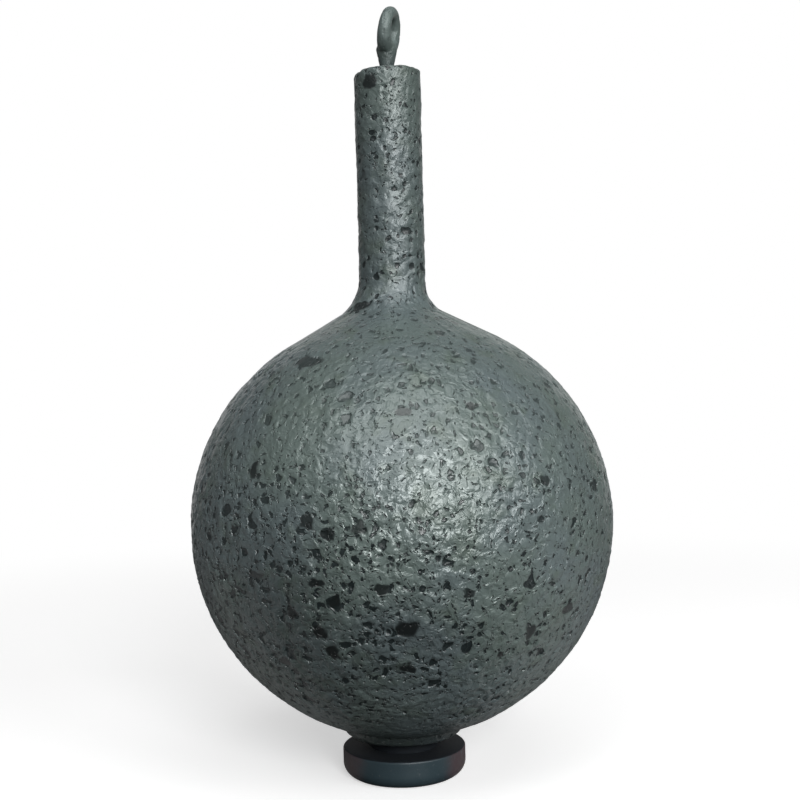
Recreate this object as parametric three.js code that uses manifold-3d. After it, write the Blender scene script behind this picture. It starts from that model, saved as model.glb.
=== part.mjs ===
// Ball-and-stem fishing sinker with a cast-in barrel swivel and a screwed rubber foot.
// Units are millimetres, +Z points up, and the origin is the middle of the foot's flat underside.
// The lead ball and its stem are one casting. A barrel swivel is cast into the top of the stem,
// so only its upper eye shows, and that eye turns freely in the barrel. A threaded insert is cast
// into the bottom of the ball and takes the stud of the moulded foot that the sinker stands on.

import * as THREE from "three";
import { mergeVertices } from "three/addons/utils/BufferGeometryUtils.js";
import Module from "manifold-3d";

// Foot
const FOOT_DIAMETER = 10.0;
const FOOT_THICKNESS = 2.3;
const FOOT_BOTTOM_EDGE = 1.0; // radius round the standing edge
const FOOT_TOP_EDGE = 0.18; // small radius round the upper rim
const FOOT_COLLAR_DIAMETER = 5.6;
const FOOT_COLLAR_HEIGHT = 0.9; // daylight between the foot and the lead

// Lead casting
const BALL_DIAMETER = 34.0;
const SEAT_DIAMETER = 6.6; // flat seat under the ball
const BOSS_STANDOFF = 0.24; // how far the seat lies below the ball's lowest point
const BOSS_DIAMETER = 9.1; // widest reach of the boss's rounded side
const BOSS_SIDE_HEIGHT = 0.5;
const BOSS_SIDE_DEG = 80.0; // turn of that side before it runs straight to the ball
const BOSS_RUNOUT_DIAMETER = 10.4; // where it ends on the ball
const STEM_DIAMETER = 5.4;
const STEM_LENGTH = 19.7; // above the ball's highest point
const STEM_TOP_EDGE = 0.3;
const SHOULDER_DEG = 61.6; // latitude at which a straight shoulder leaves the ball
const NECK_FILLET = 3.1; // between that shoulder and the stem

// Barrel swivel
const BARREL_DIAMETER = 2.9;
const BARREL_LENGTH = 6.2;
const BARREL_WALL = 0.35;
const BARREL_END_WALL = 0.6;
const BARREL_CRIMP = 0.5; // how far each end is drawn in
const BARREL_SINK = 0.3; // lead and coating above the barrel
const EYE_RING_DIAMETER = 2.9; // across the middle of the wire
const EYE_WIRE_DIAMETER = 1.0;
const EYE_HEIGHT = 3.2; // ring's centre above the stem, before it leans
const EYE_TURN_DEG = 14.0; // ring's plane, turned from the front-to-back plane
const EYE_LEAN_DEG = 12.0; // ring tips towards +X
const EYE_SHANK_DIAMETER = 1.1;
const EYE_KNOT_DIAMETER = 1.6; // where the shank meets the ring
const KNOT_LENGTH = 1.0; // how far the knot tapers down the shank
const HEAD_DIAMETER = 1.9; // head that keeps each shank in the barrel
const HEAD_LENGTH = 0.8;
const HEAD_CHAMFER = 0.25;
const ANCHOR_RING_DIAMETER = 2.7;
const ANCHOR_WIRE_DIAMETER = 0.8;
const ANCHOR_KNOT_DIAMETER = 1.3;
const ANCHOR_REACH = 1.1; // from the barrel's lower end to the buried ring's wire
const ANCHOR_TURN_DEG = 90.0; // its ring's plane, at right angles to the front-to-back plane

// Foot fastening
const STUD_DIAMETER = 3.0;
const STUD_ENGAGEMENT = 5.0; // length inside the insert
const STUD_FLANGE_DIAMETER = 6.4;
const STUD_FLANGE_THICKNESS = 0.8;
const STUD_FLANGE_COVER = 0.7; // rubber under the flange
const STUD_TIP_CHAMFER = 0.4;
const INSERT_DIAMETER = 4.8;
const INSERT_LENGTH = 6.6;
const INSERT_GROOVE_DEPTH = 0.35;
const INSERT_GROOVE_WIDTH = 1.4;

// Clearances
const RUN_CLEARANCE = 0.08; // shank in the barrel's end hole, on the radius
const HEAD_END_PLAY = 0.12; // head under the barrel's end wall
const THROAT_CLEARANCE = 0.2; // shank in the lead above the barrel, on the radius
const CAST_CLEARANCE = 0.05; // lead round what is cast into it
const THREAD_CLEARANCE = 0.06; // stud in the insert, on the radius
const MOULD_CLEARANCE = 0.05; // rubber round the stud
const STUD_END_ROOM = 0.5; // insert's bore beyond the stud's tip

// Facets
const BODY_SIDES = 48;
const SMALL_SIDES = 24;
const BALL_STEPS = 14; // below and again above its widest circle
const FILLET_STEPS = 6;
const EDGE_STEPS = 5;
const FOOT_EDGE_STEPS = 7;
const RING_STEPS = 28;
const WIRE_SIDES = 12;
const MERGE_DISTANCE = 1e-5; // vertices closer than this are one

// Heights and radii that follow from the sizes above
const footRadius = FOOT_DIAMETER / 2;
const seatZ = FOOT_THICKNESS + FOOT_COLLAR_HEIGHT;
const ballRadius = BALL_DIAMETER / 2;
const ballCentreZ = seatZ + BOSS_STANDOFF + ballRadius;
const stemTopZ = ballCentreZ + ballRadius + STEM_LENGTH;
const barrelTopZ = stemTopZ - BARREL_SINK;
const barrelBottomZ = barrelTopZ - BARREL_LENGTH;
const eyeCentreZ = stemTopZ + EYE_HEIGHT;
const shankRadius = EYE_SHANK_DIAMETER / 2;
const flangeBottomZ = STUD_FLANGE_COVER;
const flangeTopZ = flangeBottomZ + STUD_FLANGE_THICKNESS;
const studTipZ = seatZ + STUD_ENGAGEMENT;
const insertTopZ = seatZ + INSERT_LENGTH;

const wasm = await Module();
wasm.setup();

const radians = THREE.MathUtils.degToRad;
const point = (r, z) => new THREE.Vector2(r, z);

// Points of an arc about (centreR, centreZ), angles in degrees from +R towards +Z.
function arc(centreR, centreZ, radius, fromDeg, toDeg, steps) {
  return Array.from({ length: steps + 1 }, (_, i) => {
    const angle = radians(fromDeg + ((toDeg - fromDeg) * i) / steps);
    return point(centreR + radius * Math.cos(angle), centreZ + radius * Math.sin(angle));
  });
}

// Solid of revolution about Z. The outline runs anticlockwise in (r, z).
function revolve(outline, sides) {
  return solidFrom(new THREE.LatheGeometry(outline, sides).rotateX(Math.PI / 2));
}

// Closed three.js geometry to a solid that can be joined and cut.
function solidFrom(geometry) {
  geometry.deleteAttribute("normal");
  geometry.deleteAttribute("uv");
  const merged = mergeVertices(geometry, MERGE_DISTANCE);
  const whole = [];
  const index = merged.index.array;
  for (let i = 0; i < index.length; i += 3) {
    const [a, b, c] = index.subarray(i, i + 3);
    if (a !== b && b !== c && c !== a) whole.push(a, b, c);
  }
  return new wasm.Manifold(
    new wasm.Mesh({
      numProp: 3,
      vertProperties: new Float32Array(merged.attributes.position.array),
      triVerts: new Uint32Array(whole),
    }),
  );
}

function meshFrom(name, solid, material) {
  const result = solid.getMesh();
  const geometry = new THREE.BufferGeometry();
  geometry.setAttribute("position", new THREE.BufferAttribute(result.vertProperties, 3));
  geometry.setIndex(new THREE.BufferAttribute(result.triVerts, 1));
  geometry.computeVertexNormals();
  const mesh = new THREE.Mesh(geometry, new THREE.MeshStandardMaterial(material));
  mesh.name = name;
  return mesh;
}

function rod(radius, bottomZ, topZ) {
  const side = [point(radius, bottomZ), point(radius, topZ)];
  return revolve([point(0, bottomZ), ...side, point(0, topZ)], SMALL_SIDES);
}

// Flat seat under the ball and the rounded side of its boss.
function bossOutline() {
  const seatRadius = SEAT_DIAMETER / 2;
  const swell = BOSS_DIAMETER / 2 - seatRadius;
  const side = arc(0, 0, 1, 0, BOSS_SIDE_DEG, EDGE_STEPS).map((turn) =>
    point(seatRadius + swell * turn.y, seatZ + BOSS_SIDE_HEIGHT * (1 - turn.x)),
  );
  return [point(0, seatZ), ...side];
}

// Boss, ball, straight shoulder, hollow neck fillet and stem in one outline.
function castingOutline() {
  const stemRadius = STEM_DIAMETER / 2;
  const runoutShare = BOSS_RUNOUT_DIAMETER / BALL_DIAMETER;
  const bossLatitude = -THREE.MathUtils.radToDeg(Math.acos(runoutShare));
  const shoulder = radians(SHOULDER_DEG);
  const shoulderR = ballRadius * Math.cos(shoulder);
  const shoulderZ = ballCentreZ + ballRadius * Math.sin(shoulder);
  const cornerZ = shoulderZ + (shoulderR - stemRadius) / Math.tan(shoulder);
  const filletZ = cornerZ + NECK_FILLET * Math.tan(shoulder / 2);
  return [
    ...bossOutline(),
    ...arc(0, ballCentreZ, ballRadius, bossLatitude, 0, BALL_STEPS),
    ...arc(0, ballCentreZ, ballRadius, 0, SHOULDER_DEG, BALL_STEPS).slice(1),
    ...arc(stemRadius + NECK_FILLET, filletZ, NECK_FILLET, 180 + SHOULDER_DEG, 180, FILLET_STEPS),
    ...arc(stemRadius - STEM_TOP_EDGE, stemTopZ - STEM_TOP_EDGE, STEM_TOP_EDGE, 0, 90, EDGE_STEPS),
    point(0, stemTopZ),
  ];
}

// Outside of the swivel's barrel: a short tube with both ends drawn in.
function barrelSide(extra) {
  const radius = BARREL_DIAMETER / 2 + extra;
  const crimped = radius - BARREL_CRIMP;
  const bottomZ = barrelBottomZ - extra;
  const topZ = barrelTopZ + extra;
  return [
    point(crimped, bottomZ),
    ...arc(crimped, bottomZ + BARREL_CRIMP, BARREL_CRIMP, -90, 0, EDGE_STEPS).slice(1),
    ...arc(crimped, topZ - BARREL_CRIMP, BARREL_CRIMP, 0, 90, EDGE_STEPS),
  ];
}

function barrelSolid() {
  const boreRadius = shankRadius + RUN_CLEARANCE;
  const roomRadius = BARREL_DIAMETER / 2 - BARREL_WALL;
  const roomBottomZ = barrelBottomZ + BARREL_END_WALL;
  const roomTopZ = barrelTopZ - BARREL_END_WALL;
  const start = point(boreRadius, barrelBottomZ);
  return revolve(
    [
      start,
      ...barrelSide(0),
      point(boreRadius, barrelTopZ),
      point(boreRadius, roomTopZ),
      point(roomRadius, roomTopZ),
      point(roomRadius, roomBottomZ),
      point(boreRadius, roomBottomZ),
      start.clone(),
    ],
    SMALL_SIDES,
  );
}

// Space that the barrel fills in the lead, with the throat that lets the upper shank out.
function barrelPocket() {
  const throatRadius = shankRadius + THROAT_CLEARANCE;
  const throat = rod(throatRadius, barrelTopZ - BARREL_CRIMP, stemTopZ + EYE_HEIGHT);
  const outline = [
    point(0, barrelBottomZ - CAST_CLEARANCE),
    ...barrelSide(CAST_CLEARANCE),
    point(0, barrelTopZ + CAST_CLEARANCE),
  ];
  return revolve(outline, SMALL_SIDES).add(throat);
}

// Wire ring whose lowest wire crosses the origin, turned about Z and then leaned about that wire.
function ringGeometry(ringDiameter, wireDiameter, turnDeg, leanDeg) {
  const wireRadius = wireDiameter / 2;
  return new THREE.TorusGeometry(ringDiameter / 2, wireRadius, WIRE_SIDES, RING_STEPS)
    .rotateX(Math.PI / 2)
    .rotateZ(Math.PI / 2 - radians(turnDeg))
    .translate(0, 0, ringDiameter / 2)
    .rotateY(radians(leanDeg));
}

// Shank of a swivel's eye, from the head inside the barrel up to the knot under the ring.
// z = 0 is the barrel's end face. The middle of the ring's wire crosses the axis at footZ.
function shankGeometry(knotDiameter, footZ, extra) {
  const headRadius = HEAD_DIAMETER / 2 + extra;
  const headTopZ = extra - BARREL_END_WALL - HEAD_END_PLAY;
  const headBottomZ = headTopZ - HEAD_LENGTH - 2 * extra;
  const neckRadius = shankRadius + extra;
  const knotRadius = knotDiameter / 2 + extra;
  const outline = [
    point(0, headBottomZ),
    point(headRadius - HEAD_CHAMFER, headBottomZ),
    point(headRadius, headBottomZ + HEAD_CHAMFER),
    point(headRadius, headTopZ),
    point(neckRadius, headTopZ),
    point(neckRadius, footZ - KNOT_LENGTH),
    point((neckRadius + knotRadius) / 2, footZ - KNOT_LENGTH / 2),
    ...arc(knotRadius / 2, footZ, knotRadius / 2, 0, 90, EDGE_STEPS),
    point(0, footZ + knotRadius / 2),
  ];
  return new THREE.LatheGeometry(outline, SMALL_SIDES).rotateX(Math.PI / 2);
}

// Upper eye, which turns in the barrel.
function upperEyeSolid() {
  const footZ = eyeCentreZ - EYE_RING_DIAMETER / 2;
  const ring = ringGeometry(EYE_RING_DIAMETER, EYE_WIRE_DIAMETER, EYE_TURN_DEG, EYE_LEAN_DEG);
  const shank = shankGeometry(EYE_KNOT_DIAMETER, footZ - barrelTopZ, 0);
  return solidFrom(ring.translate(0, 0, footZ)).add(
    solidFrom(shank.translate(0, 0, barrelTopZ)),
  );
}

// Lower eye, made the same way, turned upside down and locked in the lead.
// Growing it by the cast clearance gives the space that it fills.
function anchorEyeSolid(extra) {
  const wireDiameter = ANCHOR_WIRE_DIAMETER + 2 * extra;
  const ring = ringGeometry(ANCHOR_RING_DIAMETER, wireDiameter, ANCHOR_TURN_DEG, 0);
  const shank = shankGeometry(ANCHOR_KNOT_DIAMETER, ANCHOR_REACH, extra);
  return solidFrom(ring.translate(0, 0, ANCHOR_REACH))
    .add(solidFrom(shank))
    .rotate([180, 0, 0])
    .translate([0, 0, barrelBottomZ]);
}

// Blind threaded insert with a locking groove round its middle.
function insertSide(extra) {
  const radius = INSERT_DIAMETER / 2 + extra;
  const grooved = radius - INSERT_GROOVE_DEPTH;
  const middleZ = seatZ + INSERT_LENGTH / 2;
  const grooveBottomZ = middleZ - INSERT_GROOVE_WIDTH / 2 + extra;
  const grooveTopZ = middleZ + INSERT_GROOVE_WIDTH / 2 - extra;
  return [
    point(radius, seatZ),
    point(radius, grooveBottomZ),
    point(grooved, grooveBottomZ + INSERT_GROOVE_DEPTH),
    point(grooved, grooveTopZ - INSERT_GROOVE_DEPTH),
    point(radius, grooveTopZ),
    point(radius, insertTopZ + extra),
    point(0, insertTopZ + extra),
  ];
}

function insertSolid() {
  const boreRadius = STUD_DIAMETER / 2 + THREAD_CLEARANCE;
  const boreTopZ = studTipZ + STUD_END_ROOM;
  const bore = [
    point(0, boreTopZ),
    point(boreRadius, boreTopZ),
    point(boreRadius, seatZ),
  ];
  return revolve([...bore, ...insertSide(0)], SMALL_SIDES);
}

function castingSolid() {
  const insertPocket = revolve([point(0, seatZ), ...insertSide(CAST_CLEARANCE)], SMALL_SIDES);
  return revolve(castingOutline(), BODY_SIDES)
    .subtract(barrelPocket())
    .subtract(anchorEyeSolid(CAST_CLEARANCE))
    .subtract(insertPocket);
}

// Stud with a flange that the foot is moulded round.
function studSide(extra) {
  const flangeRadius = STUD_FLANGE_DIAMETER / 2 + extra;
  return [
    point(0, flangeBottomZ - extra),
    point(flangeRadius, flangeBottomZ - extra),
    point(flangeRadius, flangeTopZ + extra),
    point(STUD_DIAMETER / 2 + extra, flangeTopZ + extra),
  ];
}

function studSolid() {
  const radius = STUD_DIAMETER / 2;
  const tip = [
    point(radius, studTipZ - STUD_TIP_CHAMFER),
    point(radius - STUD_TIP_CHAMFER, studTipZ),
    point(0, studTipZ),
  ];
  return revolve([...studSide(0), ...tip], SMALL_SIDES);
}

// Moulded foot: a disc with a full lower edge, a crisp upper rim and a short collar.
function footSolid() {
  const collarRadius = FOOT_COLLAR_DIAMETER / 2;
  const lowerR = footRadius - FOOT_BOTTOM_EDGE;
  const upperR = footRadius - FOOT_TOP_EDGE;
  const upperZ = FOOT_THICKNESS - FOOT_TOP_EDGE;
  const outline = [
    point(0, 0),
    ...arc(lowerR, FOOT_BOTTOM_EDGE, FOOT_BOTTOM_EDGE, -90, 0, FOOT_EDGE_STEPS),
    ...arc(upperR, upperZ, FOOT_TOP_EDGE, 0, 90, EDGE_STEPS),
    point(collarRadius, FOOT_THICKNESS),
    point(collarRadius, seatZ),
    point(0, seatZ),
  ];
  const boreRadius = STUD_DIAMETER / 2 + MOULD_CLEARANCE;
  const studSpace = [
    ...studSide(MOULD_CLEARANCE),
    point(boreRadius, studTipZ),
    point(0, studTipZ),
  ];
  return revolve(outline, BODY_SIDES).subtract(revolve(studSpace, SMALL_SIDES));
}

const COATING = { color: 0x66716e, roughness: 0.5, metalness: 0.15 };
const BRASS = { color: 0xb5a15c, roughness: 0.35, metalness: 1.0 };
const STEEL = { color: 0x9a9da0, roughness: 0.35, metalness: 1.0 };
const RUBBER = { color: 0x2a3035, roughness: 0.45, metalness: 0.0 };

const sinker = new THREE.Group();
sinker.add(
  meshFrom("sinker_body", castingSolid(), COATING),
  meshFrom("swivel_barrel", barrelSolid(), BRASS),
  meshFrom("swivel_eye", upperEyeSolid(), COATING),
  meshFrom("anchor_eye", anchorEyeSolid(0), STEEL),
  meshFrom("threaded_insert", insertSolid(), BRASS),
  meshFrom("foot_stud", studSolid(), STEEL),
  meshFrom("foot_pad", footSolid(), RUBBER),
);

export default sinker;
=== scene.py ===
import math

import bmesh
import bpy
import numpy as np
from mathutils import Euler, Matrix, Vector


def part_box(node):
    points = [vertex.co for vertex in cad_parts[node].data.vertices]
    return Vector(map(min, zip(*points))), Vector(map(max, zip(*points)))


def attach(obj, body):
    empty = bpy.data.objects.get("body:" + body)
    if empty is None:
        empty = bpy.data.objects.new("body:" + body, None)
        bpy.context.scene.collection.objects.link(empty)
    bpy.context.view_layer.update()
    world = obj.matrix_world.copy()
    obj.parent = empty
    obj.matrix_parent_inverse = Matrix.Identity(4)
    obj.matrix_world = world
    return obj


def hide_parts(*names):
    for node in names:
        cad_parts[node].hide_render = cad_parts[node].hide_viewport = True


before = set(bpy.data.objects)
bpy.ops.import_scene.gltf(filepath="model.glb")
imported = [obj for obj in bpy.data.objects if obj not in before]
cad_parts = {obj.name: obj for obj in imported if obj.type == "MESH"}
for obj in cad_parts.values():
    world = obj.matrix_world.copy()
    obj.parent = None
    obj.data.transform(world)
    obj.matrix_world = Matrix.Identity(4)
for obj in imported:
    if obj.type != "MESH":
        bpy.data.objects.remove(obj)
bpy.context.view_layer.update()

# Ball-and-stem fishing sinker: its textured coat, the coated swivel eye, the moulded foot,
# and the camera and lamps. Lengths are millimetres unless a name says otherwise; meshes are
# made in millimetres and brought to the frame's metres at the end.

MM = 0.001  # metres in a millimetre

# Sizes of the frame, in millimetres


def box_mm(node):
    """Lowest and highest corner of a node's box."""
    low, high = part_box(node)
    return np.array(low) / MM, np.array(high) / MM


BODY_LOW, BODY_HIGH = box_mm("sinker_body")
BARREL_LOW, BARREL_HIGH = box_mm("swivel_barrel")
ANCHOR_LOW, ANCHOR_HIGH = box_mm("anchor_eye")
INSERT_HIGH = box_mm("threaded_insert")[1]
FOOT_HIGH = box_mm("foot_pad")[1]
EYE_LOW = box_mm("swivel_eye")[0]

# Lead body and its coat

SEAT_Z = BODY_LOW[2]
STEM_TOP_Z = BODY_HIGH[2]
BALL_RADIUS = BODY_HIGH[0]
BOSS_STANDOFF = 0.24  # how far the seat lies below the ball's lowest point
BALL_CENTRE_Z = SEAT_Z + BOSS_STANDOFF + BALL_RADIUS
BOSS_RADIUS = 3.3  # of its flat seat
BOSS_SWELL = 1.5  # from there it swells out by this much
BOSS_SWELL_HEIGHT = 0.5
BOSS_SWELL_DEG = 80  # turn of its rounded side before it runs straight to the ball
BOSS_SWELL_POINTS = 9
BOSS_JOIN_RADIUS = 5.2  # where it runs out into the ball
STEM_RADIUS = 2.7
STEM_TOP_EDGE = 0.3
STEM_TOP_EDGE_PARTS = 4  # mesh steps to its radius
SHOULDER_DEG = 61.6  # latitude at which a straight shoulder leaves the ball
NECK_FILLET = 3.1
THROAT_RADIUS = 0.75  # of the hole round the eye's shank
POCKET_CLEARANCE = 0.05  # round the pieces cast into the lead

COAT_STEP = 0.224  # mesh spacing on the ball
STEM_STEP = 0.2
HIDDEN_STEP = 1.0
FEWEST_SIDES = 30
WIDEST_SIDE = 0.245  # a ring gets twice the sides when its sides would be longer than this
SAME_PLACE = 1e-6
ON_AXIS = 1e-9  # radius below which a ring of vertices is a single one


def arc(centre_r, centre_z, radius, from_deg, to_deg, step):
    """Points of an arc, about step apart, from +R towards +Z."""
    count = max(2, round(radius * math.radians(abs(to_deg - from_deg)) / step))
    angles = np.radians(np.linspace(from_deg, to_deg, count + 1))
    return [(centre_r + radius * math.cos(a), centre_z + radius * math.sin(a)) for a in angles]


def line(start, end, step):
    """Points from start to end, about step apart."""
    start, end = np.array(start), np.array(end)
    count = max(1, round(float(np.linalg.norm(end - start)) / step))
    return [tuple(start + (end - start) * i / count) for i in range(count + 1)]


def chain(*stretches):
    """Stretches of points in one row, without the doubled points where they meet."""
    row = []
    for stretch in stretches:
        for p in stretch:
            if not row or math.dist(row[-1], p) > SAME_PLACE:
                row.append(p)
    return row


def body_outline():
    """(r, z) points from the top of the insert's pocket, round the outside, to the bottom of
    the pocket that holds the barrel and the lower eye."""
    shoulder = math.radians(SHOULDER_DEG)
    shoulder_r = BALL_RADIUS * math.cos(shoulder)
    shoulder_z = BALL_CENTRE_Z + BALL_RADIUS * math.sin(shoulder)
    corner_z = shoulder_z + (shoulder_r - STEM_RADIUS) / math.tan(shoulder)
    fillet_z = corner_z + NECK_FILLET * math.tan(shoulder / 2)
    fillet_r = STEM_RADIUS + NECK_FILLET
    boss_latitude = -math.degrees(math.acos(BOSS_JOIN_RADIUS / BALL_RADIUS))
    turns = np.radians(np.linspace(0, BOSS_SWELL_DEG, BOSS_SWELL_POINTS))
    swell_r = BOSS_RADIUS + BOSS_SWELL * np.sin(turns)
    swell_z = SEAT_Z + BOSS_SWELL_HEIGHT * (1 - np.cos(turns))
    join_z = BALL_CENTRE_Z - math.sqrt(BALL_RADIUS**2 - BOSS_JOIN_RADIUS**2)

    insert_r = INSERT_HIGH[0] + POCKET_CLEARANCE
    insert_top = INSERT_HIGH[2] + POCKET_CLEARANCE
    barrel_r = BARREL_HIGH[0] + POCKET_CLEARANCE
    barrel_top = BARREL_HIGH[2] + POCKET_CLEARANCE
    barrel_bottom = BARREL_LOW[2] - POCKET_CLEARANCE
    anchor_r = ANCHOR_HIGH[0] + POCKET_CLEARANCE
    anchor_bottom = ANCHOR_LOW[2] - POCKET_CLEARANCE

    bottom_pocket = chain(
        line((0, insert_top), (insert_r, insert_top), HIDDEN_STEP),
        line((insert_r, insert_top), (insert_r, SEAT_Z), HIDDEN_STEP),
    )
    outside = chain(
        line((insert_r, SEAT_Z), (BOSS_RADIUS, SEAT_Z), STEM_STEP),
        list(zip(swell_r.tolist(), swell_z.tolist())),
        line((swell_r[-1], swell_z[-1]), (BOSS_JOIN_RADIUS, join_z), STEM_STEP),
        arc(0, BALL_CENTRE_Z, BALL_RADIUS, boss_latitude, SHOULDER_DEG, COAT_STEP),
        arc(fillet_r, fillet_z, NECK_FILLET, 180 + SHOULDER_DEG, 180, COAT_STEP),
        line((STEM_RADIUS, fillet_z), (STEM_RADIUS, STEM_TOP_Z - STEM_TOP_EDGE), STEM_STEP),
        arc(
            STEM_RADIUS - STEM_TOP_EDGE,
            STEM_TOP_Z - STEM_TOP_EDGE,
            STEM_TOP_EDGE,
            0,
            90,
            STEM_TOP_EDGE / STEM_TOP_EDGE_PARTS,
        ),
        line((STEM_RADIUS - STEM_TOP_EDGE, STEM_TOP_Z), (THROAT_RADIUS, STEM_TOP_Z), STEM_STEP),
    )
    top_pocket = chain(
        line((THROAT_RADIUS, STEM_TOP_Z), (THROAT_RADIUS, barrel_top), STEM_STEP),
        line((THROAT_RADIUS, barrel_top), (barrel_r, barrel_top), HIDDEN_STEP),
        line((barrel_r, barrel_top), (barrel_r, barrel_bottom), HIDDEN_STEP),
        line((barrel_r, barrel_bottom), (anchor_r, barrel_bottom), HIDDEN_STEP),
        line((anchor_r, barrel_bottom), (anchor_r, anchor_bottom), HIDDEN_STEP),
        line((anchor_r, anchor_bottom), (0, anchor_bottom), HIDDEN_STEP),
    )
    return chain(bottom_pocket, outside, top_pocket)


def revolved(name, outline, fewest, widest):
    """A closed skin turned from (r, z) points whose ends lie on the axis. A ring's number of
    sides is fewest or that doubled, so sides stay about as long on the ball as on the stem.
    Its UV map is the skin unrolled: the angle across, the way along the outline upwards."""
    mesh = bpy.data.meshes.new(name)
    verts, faces, uvs, rings = [], [], [], []
    lengths = [math.dist(a, b) for a, b in zip(outline, outline[1:])]
    way = np.concatenate([[0], np.cumsum(lengths)])
    way /= way[-1]
    for r, z in outline:
        if r < ON_AXIS:
            rings.append((len(verts), 1))
            verts.append((0, 0, z))
            continue
        doublings = max(0, math.ceil(math.log2(2 * math.pi * r / widest / fewest)))
        sides = fewest * 2**doublings
        rings.append((len(verts), sides))
        turn = 2 * math.pi * np.arange(sides) / sides
        verts.extend(zip(r * np.cos(turn), r * np.sin(turn), np.full(sides, z)))

    def corner(ring, step, sides):
        """Vertex and map place of a ring's corner number step, where sides is one round."""
        start, count = rings[ring]
        across = step / sides
        return start + (step * count // sides) % count, (across, way[ring])

    def face(corners):
        faces.append([vertex for vertex, _ in corners])
        uvs.extend(place for _, place in corners)

    for ring in range(len(rings) - 1):
        below, above = rings[ring][1], rings[ring + 1][1]
        fine = max(below, above)
        for i in range(min(below, above) if min(below, above) > 1 else fine):
            if below == above:
                face([
                    corner(ring, i, below),
                    corner(ring, i + 1, below),
                    corner(ring + 1, i + 1, above),
                    corner(ring + 1, i, above),
                ])
            elif below == 1:
                tip = (rings[ring][0], ((i + 0.5) / fine, way[ring]))
                face([tip, corner(ring + 1, i + 1, fine), corner(ring + 1, i, fine)])
            elif above == 1:
                tip = (rings[ring + 1][0], ((i + 0.5) / fine, way[ring + 1]))
                face([corner(ring, i, fine), corner(ring, i + 1, fine), tip])
            elif below > above:
                a, b, c = (corner(ring, 2 * i + k, below) for k in range(3))
                d, e = corner(ring + 1, i, above), corner(ring + 1, i + 1, above)
                face([a, b, d])
                face([b, e, d])
                face([b, c, e])
            else:
                a, b = corner(ring, i, below), corner(ring, i + 1, below)
                d, e, f = (corner(ring + 1, 2 * i + k, above) for k in range(3))
                face([a, e, d])
                face([a, b, e])
                face([b, f, e])
    mesh.from_pydata(verts, [], faces)
    mesh.uv_layers.new(name="OFBake").data.foreach_set("uv", np.array(uvs).ravel())
    mesh.shade_smooth()
    piece = bpy.data.objects.new(name, mesh)
    bpy.context.scene.collection.objects.link(piece)
    return piece


def places_of(mesh):
    """The vertices' places, one to a row."""
    flat = np.empty(3 * len(mesh.vertices))
    mesh.vertices.foreach_get("co", flat)
    return flat.reshape(-1, 3)


def set_places(mesh, places):
    mesh.vertices.foreach_set("co", np.ascontiguousarray(places).ravel())
    mesh.update()


def smoothstep(value, low, high):
    """0 below low, 1 above high, and smooth between, for an array."""
    t = np.clip((value - low) / (high - low), 0, 1)
    return t * t * (3 - 2 * t)


# Node patterns, the same in a material and in a relief


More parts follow.
